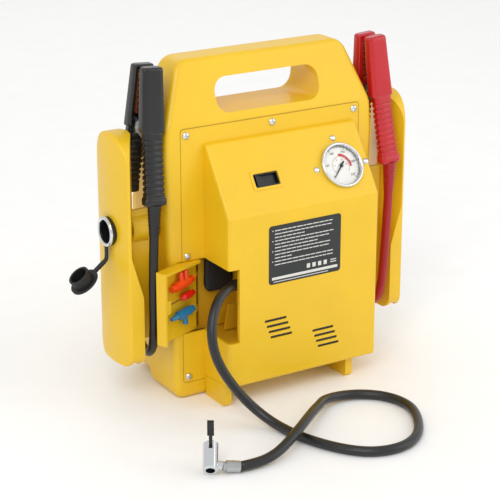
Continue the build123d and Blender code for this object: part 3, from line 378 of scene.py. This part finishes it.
def relief(s):
    """Radius of a lead's sleeve: 6.5 tapering to 4.8, with shallow rings after the first 4 mm."""
    return 6.5 - 1.7 * s / s[-1] - 0.35 * np.clip(np.sin(s * 1.9), 0, 1) * (s > 4)


def lead(colour, side, look):
    """One clamp lead and the tapered sleeve where it leaves the clamp's collar."""
    start = clamp_point(side, 0.0, LEAD_DEPTH, FOOT - 4)
    route = [tuple(start)] + [(side * x, y, z) for x, y, z in LEAD_ROUTE]
    line = spline_line(f"{colour}_lead", route)
    cable = tube(f"{colour}_lead_cable", line, LEAD_D / 2, look, "pack", around=28)
    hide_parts(f"{colour}_lead")
    short = line[along(line) < LEAD_SLEEVE]
    lift = clamp_point(side, 0.0, LEAD_DEPTH, FOOT + 0.5)
    steps = np.linspace(0, 1, 6)[:-1, None]
    first = lift + (short[0] - lift) * steps
    dense = np.r_[first, short]
    s = np.linspace(0, along(dense)[-1], 46)
    fine = np.stack([np.interp(s, along(dense), dense[:, k]) for k in range(3)], -1)
    sleeve = tube(f"{colour}_lead_sleeve", fine, relief, look, "pack", around=28)


lead("black", -1, LEAD_BLACK)
lead("red", 1, LEAD_RED)

HOSE_ROUTE = [(-44.0, -53.0, 113.0), (-58.2, -60.1, 118.6), (-73.7, -68.1, 119.1), (-87.4, -76.4, 112.9),
              (-97.4, -83.9, 101.3), (-102.0, -90.0, 85.9), (-100.6, -94.2, 69.3), (-94.7, -98.0, 53.6),
              (-86.3, -101.6, 39.1), (-76.6, -105.1, 25.3), (-67.2, -113.8, 13.9), (-59.7, -127.4, 6.6),
              (-55.1, -143.8, 4.6), (-51.5, -160.6, 4.6), (-45.6, -176.8, 4.6), (-38.1, -192.2, 4.6),
              (-28.3, -206.4, 4.6), (-15.5, -217.8, 4.6), (0.8, -223.4, 4.6), (17.9, -222.7, 4.6),
              (33.4, -215.4, 4.6), (46.1, -203.8, 4.6), (56.0, -189.8, 4.6), (64.4, -174.9, 4.6),
              (69.7, -158.6, 4.6), (68.5, -141.7, 4.6), (61.3, -126.4, 4.6), (48.7, -115.4, 4.9),
              (33.0, -109.5, 5.7), (16.2, -110.3, 7.5), (0.7, -116.9, 10.2), (-11.0, -128.9, 13.6),
              (-24.0, -139.9, 16.0), (-37.0, -151.1, 17.4), (-50.4, -161.9, 17.7), (-64.4, -171.9, 16.5),
              (-79.1, -180.0, 12.9), (-94.9, -185.0, 8.3), (-111.9, -185.7, 5.5), (-129.0, -183.4, 5.4)]
hose_line = spline_line("hose", HOSE_ROUTE)
hose = tube("hose_jacket", hose_line, HOSE_D / 2, HOSE, "pack", around=32)
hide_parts("air_hose")
near = hose_line[along(hose_line) < HOSE_SLEEVE]
hose_sleeve = tube("hose_sleeve", near, lambda s: 6.3 - 1.4 * s / s[-1], BLACK, "pack", around=28)


# ---- clamp covers ----
def smooth_step(x, low, high):
    """0 below low, 1 above high, and a smooth rise between them."""
    t = np.clip((x - low) / (high - low), 0, 1)
    return t * t * (3 - 2 * t)


def clamp_cover(colour, side, flip, look, body):
    """A rounded rectangle carried down the clamp: x = w cos^p, y = middle + d sin^p, with w, outer face and
    inner face set by height, drawn in at the ring grooves except on a raised centre column.
    flip is 1 for the near handle and -1 for the far one, whose foot is narrower to clear its holder."""
    h = np.r_[TIP, TIP - 0.5, TIP - 1.4, TIP - 2.6, np.arange(TIP - 4, -1.2, -1.0), -1.3, -2.0, -2.4, -3.0,
              np.arange(-3.6, FOOT + 8.4, -0.55), FOOT + 8, FOOT + 7.2, FOOT + 7.0, FOOT + 6.2, FOOT + 3, FOOT + 1.2,
              FOOT + 0.4, FOOT]
    jaw = h > -2.2
    collar = h < FOOT + 7.1
    foot, rim = (9.7, 10.7) if flip > 0 else (8.6, 8.7)
    w = np.where(jaw, np.interp(h, (-2, 34, TIP), (11.4, 10.5, 9.8)), np.interp(h, (FOOT + 7, -2), (foot, 9.2)))
    outer = np.where(jaw, np.interp(h, (-2, 34, TIP), (-19.9, -15.7, -13.5)),
                     np.interp(h, (FOOT + 7, -2), (-28.4, -19.3)))
    inner = np.where(jaw, np.interp(h, (-2, 34, TIP), (-8.4, -4.6, -3.0)),
                     np.interp(h, (FOOT + 7, -2), (-18.7, -10.2)))
    w = np.where(collar, rim, w)
    outer = np.where(collar, np.interp(h, (FOOT, FOOT + 7), (-29.9, -29.4)), outer)
    inner = np.where(collar, np.interp(h, (FOOT, FOOT + 7), (-18.6, -18.2)), inner)
    ends = 1.6 * (1 - np.sqrt(1 - np.clip(1 - (TIP - h) / 2.6, 0, 1) ** 2)) \
        + 1.0 * np.clip(1 - (h - FOOT) / 1.2, 0, 1) ** 2 + 0.8 * np.clip(1 - (FOOT + 7.1 - h) / 0.9, 0, 1) * collar \
        + 1.2 * np.clip(1 - (h + 2.1) / 1.0, 0, 1) * jaw
    ribbed = smooth_step(h, FOOT + 10, FOOT + 12) * (1 - smooth_step(h, -9, -7))
    groove = ribbed * np.clip(1.5 * np.cos(2 * math.pi * (h + 8) / 5.2) - 0.1, 0, 1) * 1.1
    around = 56
    cx, cy = squared(full_turn(around), 2 / 5.5)
    middle, half = (outer + inner) / 2, (inner - outer) / 2
    column = (1 - smooth_step(np.abs(cx), 0.22, 0.34)) * (cy < -0.5)
    drawn = ends[:, None] + groove[:, None] * (1 - column)
    face_low = 0.45 * ribbed[:, None] * (1 - column) * (cy < -0.2)
    x = (w[:, None] - drawn) * cx
    y = middle[:, None] + (half[:, None] - drawn) * cy + face_low
    points = clamp_point(side, x, flip * y, np.repeat(h[:, None], around, 1)).reshape(-1, 3)
    poles = clamp_point(side, np.zeros(2), flip * np.array([middle[0], middle[-1]]), np.array([h[0], h[-1]]))
    place = "near" if flip > 0 else "far"
    cover = outward(piece_from(f"{colour}_{place}_cover", np.r_[points, poles], grid_faces(len(h), around), look, body))
    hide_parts(f"{colour}_{place}_grip")


for colour, side, look in (("black", -1, GRIP_BLACK), ("red", 1, GRIP_RED)):
    clamp_cover(colour, side, 1, look, "pack")
    clamp_cover(colour, side, -1, look, f"{colour}_jaw")


# ---- flat marks on a plane ----
UP = np.array([0, 0.5566, 0.8308])  # up the box's sloping face
SLOPE_MID = np.array([0, -52.6, 215.2])
GAUGE_MID = SLOPE_MID + 59.0 * X_DIR - 4.5 * UP
SWITCH_MID = SLOPE_MID - 22.8 * X_DIR - 4.6 * UP
BOX_FACE = np.array([0, -73.0, 0])
COVER_MID = np.array([0, -28.0, 139.0])


def slabs(name, corners, origin, x_dir, y_dir, low, high, look, body):
    """Thin closed prisms, one for each polygon of 2-D corners, standing from low to high off a plane."""
    points, faces = [], []
    n_dir = np.cross(x_dir, y_dir)
    for outline in corners:
        flat = np.array(outline, float)
        n, base = len(flat), len(points)
        here = origin + flat[:, :1] * x_dir + flat[:, 1:] * y_dir
        points += (here + low * n_dir).tolist() + (here + high * n_dir).tolist()
        faces.append([base + n + k for k in range(n)])
        faces.append([base + n - 1 - k for k in range(n)])
        faces += [[base + k, base + (k + 1) % n, base + n + (k + 1) % n, base + n + k] for k in range(n)]
    piece_from(name, points, faces, look, body, smooth=False)


def bar(x, y, width, height):
    """Corners of an upright rectangle about x, y."""
    return [(x - width / 2, y - height / 2), (x + width / 2, y - height / 2), (x + width / 2, y + height / 2),
            (x - width / 2, y + height / 2)]


def spoke(angle, inner, outer, width):
    """Corners of a short radial bar at an angle in degrees."""
    c, s = math.cos(math.radians(angle)), math.sin(math.radians(angle))
    return [(inner * c + width * s, inner * s - width * c), (outer * c + width * s, outer * s - width * c),
            (outer * c - width * s, outer * s + width * c), (inner * c - width * s, inner * s + width * c)]


def arcs(start, stop, inner, outer, steps):
    """Short pieces of a ring between two angles, each a four sided polygon."""
    a = np.radians(np.linspace(start, stop, steps + 1))
    return [[(inner * math.cos(p), inner * math.sin(p)), (outer * math.cos(p), outer * math.sin(p)),
             (outer * math.cos(q), outer * math.sin(q)), (inner * math.cos(q), inner * math.sin(q))]
            for p, q in zip(a[1:], a[:-1])]


DIAL_FIRST, DIAL_LAST = 225, -45  # the scale's angles in degrees
INK_LOW, INK_HIGH = -0.58, -0.46
sweep = np.linspace(DIAL_FIRST, DIAL_LAST, 26)
major = [spoke(a, 16.6, 18.6, 0.26) for a in sweep[::5]]
minor = [spoke(a, 17.4, 18.6, 0.13) for a in sweep]
rings = arcs(DIAL_FIRST, DIAL_LAST, 18.5, 18.8, 60) + arcs(DIAL_FIRST, DIAL_LAST, 8.9, 9.15, 60)
slabs("dial_ticks", major + minor + rings, GAUGE_MID, X_DIR, UP, INK_LOW, INK_HIGH, INK, "pack")
slabs("dial_red_arc", arcs(88, -10, 9.6, 11.8, 40), GAUGE_MID, X_DIR, UP, INK_LOW, INK_HIGH, INK_RED, "pack")


def numeral(name, text, angle, radius, size, look):
    """A printed number of the dial as a thin mesh, at an angle in degrees and a radius from the middle."""
    curve = bpy.data.curves.new(name, "FONT")
    curve.body = text
    curve.size = size * MM
    curve.align_x = "CENTER"
    curve.align_y = "CENTER"
    curve.extrude = 0.00006
    holder = placed(name + "_text", curve)
    bpy.context.view_layer.update()
    mesh = bpy.data.meshes.new_from_object(holder)
    bpy.data.objects.remove(holder)
    turn = math.radians(angle)
    n_dir = np.cross(X_DIR, UP)
    at = (GAUGE_MID + radius * math.cos(turn) * X_DIR + radius * math.sin(turn) * UP - 0.5 * n_dir) * MM
    mesh.transform(Matrix([(*row, offset) for row, offset in zip(np.c_[X_DIR, UP, n_dir], at)] + [(0, 0, 0, 1)]))
    mesh.materials.clear()
    mesh.materials.append(look)
    piece = placed(name, mesh)
    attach(piece, "pack")


NUMBER_STEP = 54
for n, value in enumerate(("0", "50", "100", "150", "200", "250")):
    numeral(f"dial_number_{value}", value, DIAL_FIRST - NUMBER_STEP * n, 14.2, 3.3, INK)
for n, value in enumerate(("4", "8", "12", "16"), 1):
    numeral(f"dial_inner_{value}", value, DIAL_FIRST - NUMBER_STEP * n, 6.6, 2.6, INK_RED)

# ---- rating label's printed bars ----
LINE_TOP, LINE_STEP, LINE_LEFT, LINE_WIDTH, WORD_GAP = 167.5, 3.3, -24.8, 68, 0.7
rng = np.random.default_rng(7)
rows = []
for n in range(11):
    z = LINE_TOP - LINE_STEP * n
    if n % 3 == 0:
        rows.append(bar(-27.0, z, 1.0, 1.0))
    share = rng.uniform(0.35, 0.8) if n % 3 == 2 else rng.uniform(0.94, 1.0)
    words = rng.uniform(3.0, 7.0, 14)
    ends = np.cumsum(words + WORD_GAP)
    starts = ends - words - WORD_GAP
    rows += [bar(LINE_LEFT + (a + b - WORD_GAP) / 2, z, b - WORD_GAP - a, 0.85)
             for a, b in zip(starts, ends) if b < LINE_WIDTH * share]
rows += [bar(12 + 6.2 * n, 127.2, 3.6, 4.2) for n in range(4)]
rows += [bar(39.5, 128.4, 6.5, 0.9), bar(39.5, 126.2, 6.5, 0.9)]
rows.append(bar(8.3, 121.2, 72, 2.6))
rows.append(bar(4.0, 117.9, 60, 0.7))
slabs("label_print", rows, BOX_FACE, X_DIR, Z_DIR, 0.01, 0.08, INK_WHITE, "pack")

# ---- painted shade in and behind the vent slots, the cover's seam and the switch's frame ----
# dark slabs sunk 0.7 mm into the vent slots and dark sheets behind them: painted shade standing in for the dark inside
# of the case behind the vents
slots = [(x + 2.1 * n, z - 5.63 * n) for x, z in ((-23.2, 80.7), (29.4, 60.5)) for n in range(4)]
turns = np.radians(np.r_[np.linspace(-90, 90, 7), np.linspace(90, 270, 7)])
shift = np.repeat((10.85, -10.85), 7)
slot_shades = [np.c_[x + shift + 1.05 * np.cos(turns), z + 1.05 * np.sin(turns)] for x, z in slots]
slabs("vent_slot_shade", slot_shades, np.array([0, -72.7, 0]), X_DIR, Z_DIR, -2.0, -0.7, BLACK, "pack")
shade_sheets = [bar(-20, 72.3, 40, 28), bar(32.5, 52.1, 40, 28)]
slabs("vent_shade_sheet", shade_sheets, np.array([0, -69.2, 0]), X_DIR, Z_DIR, 0, 0.6, BLACK, "pack")


def rounded(width, height, radius, steps=8):
    """Corners of a rounded rectangle about the origin."""
    out = []
    for n, (sx, sy) in enumerate(((1, 1), (-1, 1), (-1, -1), (1, -1))):
        a = np.linspace(n * math.pi / 2, (n + 1) * math.pi / 2, steps + 1)
        out += [(sx * (width / 2 - radius) + radius * math.cos(t), sy * (height / 2 - radius) + radius * math.sin(t))
                for t in a]
    return np.array(out)


def ring_band(name, inner, outer, origin, x_dir, y_dir, low, high, look, body):
    """A closed frame between two outlines with the same number of corners, with a flat top and bottom."""
    n_dir = np.cross(x_dir, y_dir)
    n = len(inner)
    rows = []
    for flat, level in ((outer, low), (outer, high), (inner, high), (inner, low)):
        rows.append(origin + flat[:, :1] * x_dir + flat[:, 1:] * y_dir + level * n_dir)
    points = np.concatenate(rows)
    faces = []
    k = np.arange(n)
    m = (k + 1) % n
    for row in range(4):
        a, b = row * n, ((row + 1) % 4) * n
        faces += np.stack([a + k, a + m, b + m, b + k], -1).tolist()
    outward(piece_from(name, points, faces, look, body, smooth=False))


ring_band("cover_seam", rounded(192.2, 244.6, 3), rounded(193.8, 246.2, 3.8), COVER_MID, X_DIR, Z_DIR,
          -0.3, 0.03, SEAM, "pack")
ring_band("switch_frame", rounded(26.4, 13.4, 1.6), rounded(31.5, 18.5, 2.4), SWITCH_MID, X_DIR, UP, -0.1, 0.7, YELLOW,
          "pack")

# ---- inside the storage pocket ----
slabs("pocket_ribs", [[(-58, 67), (-38.2, 67), (-38.2, 98), (-52, 98)]], np.array([0, -24, 0]), X_DIR,
      Z_DIR, 0, 1.6, POCKET_SHADED, "pack")
slabs("pocket_shelf", [[(-60, 67), (-38.2, 67), (-38.2, 92), (-55, 92)]], np.array([0, -40, 0]), X_DIR,
      Z_DIR, 0, 1.6, POCKET_SHADED, "pack")


def pouch():
    """A soft flat bag: x = a cos^0.35 u, z = c sin^0.35 u on rings that shrink by 0.96 v^6 towards each broad
    face, at a depth of b v, with a shallow fold across."""
    around, rings = 48, 17
    v = np.linspace(-1, 1, rings)
    size = (1 - v ** 6 * 0.96)[:, None]
    cx, cz = squared(full_turn(around), 0.35)
    x = 14.5 * size * cx
    z = 17.5 * size * cz
    y = np.repeat(3.6 * v[:, None], around, 1) + 0.5 * np.sin(z * 0.5) * (1 - v[:, None] ** 2)
    points = np.stack([x - 54.5, y - 21.2, z + 117.5], -1).reshape(-1, 3)
    poles = [(-54.5, -21.2 - 3.6, 117.5), (-54.5, -21.2 + 3.6, 117.5)]
    bag = outward(piece_from("stored_pouch", np.r_[points, poles], grid_faces(rings, around), RUBBER, "pack"))


pouch()


# ---- the cap's strap, bending at its knee ----
def strap():
    """A flat band carried down from the socket and round the knee to the cap: a 5 by 2 section along a path."""
    bend = np.array([-159.4, -1.0, 143.6])
    turn = math.radians(217.7)
    away = np.array([math.cos(turn), 0, math.sin(turn)])
    path = spline_line("strap", [tuple(bend + (0, 0, 12.1)), tuple(bend + (0, 0, 7)), tuple(bend + (0, 0, 2.5)),
                                 tuple(bend + 0.9 * away), tuple(bend + 4 * away), tuple(bend + 8 * away)])
    t = np.gradient(path, axis=0)
    t /= np.linalg.norm(t, axis=1)[:, None]
    across = np.array([0, 1.0, 0])
    out = np.cross(t, across)
    around = 16
    cx, cy = squared(full_turn(around), 0.4)
    points = path[:, None, :] + (2.5 * cx)[None, :, None] * across + (1.02 * cy)[None, :, None] * out[:, None, :]
    points = np.r_[points.reshape(-1, 3), [path[0]], [path[-1]]]
    band = outward(shape_from("cap_band", points, grid_faces(len(path), around), RUBBER))
    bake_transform(band)
    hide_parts("cap_strap")


strap()

# ---- floor and light ----
floor_mesh = bpy.data.meshes.new("floor")
floor_mesh.from_pydata([(-6, -6, 0), (6, -6, 0), (6, 6, 0), (-6, 6, 0)], [], [(0, 1, 2, 3)])
floor = placed("floor", floor_mesh)
floor_mesh.materials.append(finish("floor_pale", "FDFDFC", 0.7, grain=300, bump=0.02, vary=0.01))

world = bpy.data.worlds.new("studio")
bpy.context.scene.world = world
world.use_nodes = True
world.node_tree.nodes["Background"].inputs["Color"].default_value = (1, 1, 1, 1)
world.node_tree.nodes["Background"].inputs["Strength"].default_value = 0.78


def softbox(name, place, aim, size, power):
    """A large soft area light turned towards a point."""
    lamp = placed(name, bpy.data.lights.new(name, "AREA"))
    lamp.data.size = size
    lamp.data.energy = power
    lamp.location = place
    lamp.rotation_euler = (Vector(aim) - Vector(place)).to_track_quat("-Z", "Y").to_euler()


softbox("key", (-1.4, -1.6, 1.9), (0, 0, 0.12), 1.3, 24)
softbox("fill", (1.6, -1.3, 1.0), (0, 0, 0.12), 1.6, 10)
softbox("rim", (0.6, 1.7, 1.6), (0, 0, 0.15), 1.6, 4)
